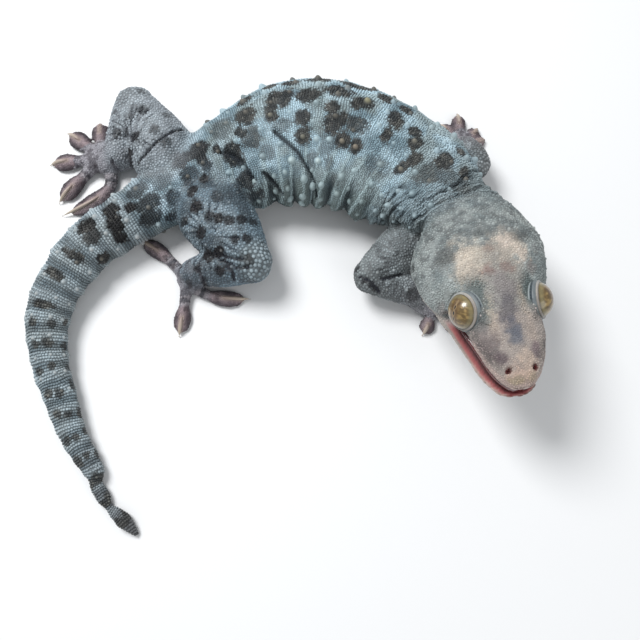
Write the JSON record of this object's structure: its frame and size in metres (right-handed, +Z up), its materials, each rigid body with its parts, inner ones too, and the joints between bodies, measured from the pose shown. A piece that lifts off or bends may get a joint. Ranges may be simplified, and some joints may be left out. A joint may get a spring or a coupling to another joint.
{
  "type": "tokay gecko",
  "caption": "Life-size tokay gecko lying on its belly, back arched to one side, tail curled round, head raised, toes spread on wide pads",
  "frame": {"origin": "middle of the bounding box, on the floor that the belly, tail and feet rest on", "axes": "+Z up; +X towards the animal's front half and head; +Y towards the outside of its bend, away from the snout"},
  "size_m": [0.1612, 0.1474, 0.0427],
  "materials": {
    "skin": "matt slate blue-grey scaly skin with dark brown spots and pale tubercles",
    "head_skin": "matt grey scaly skin with pinkish cream and mauve patches",
    "toes": "soft purplish brown skin with pale claws",
    "eye": "wet, glossy golden olive iris with a dark upright slit",
    "mouth": "moist pinkish red lining"
  },
  "bodies": {
    "root": {"head": "head_skin", "lower_jaw": "head_skin", "mouth_lining": "mouth", "eye_left": "eye", "eye_right": "eye", "neck": "skin", "torso_front": "skin", "torso_rear": "skin", "tail_base": "skin", "tail_middle": "skin", "tail_end": "skin", "arm_left_upper": "skin", "arm_left_lower": "skin", "hand_left": "toes", "arm_right_upper": "skin", "arm_right_lower": "skin", "hand_right": "toes", "thigh_left": "skin", "shin_left": "skin", "foot_left": "toes", "thigh_right": "skin", "shin_right": "skin", "foot_right": "toes"}
  },
  "joints": []
}
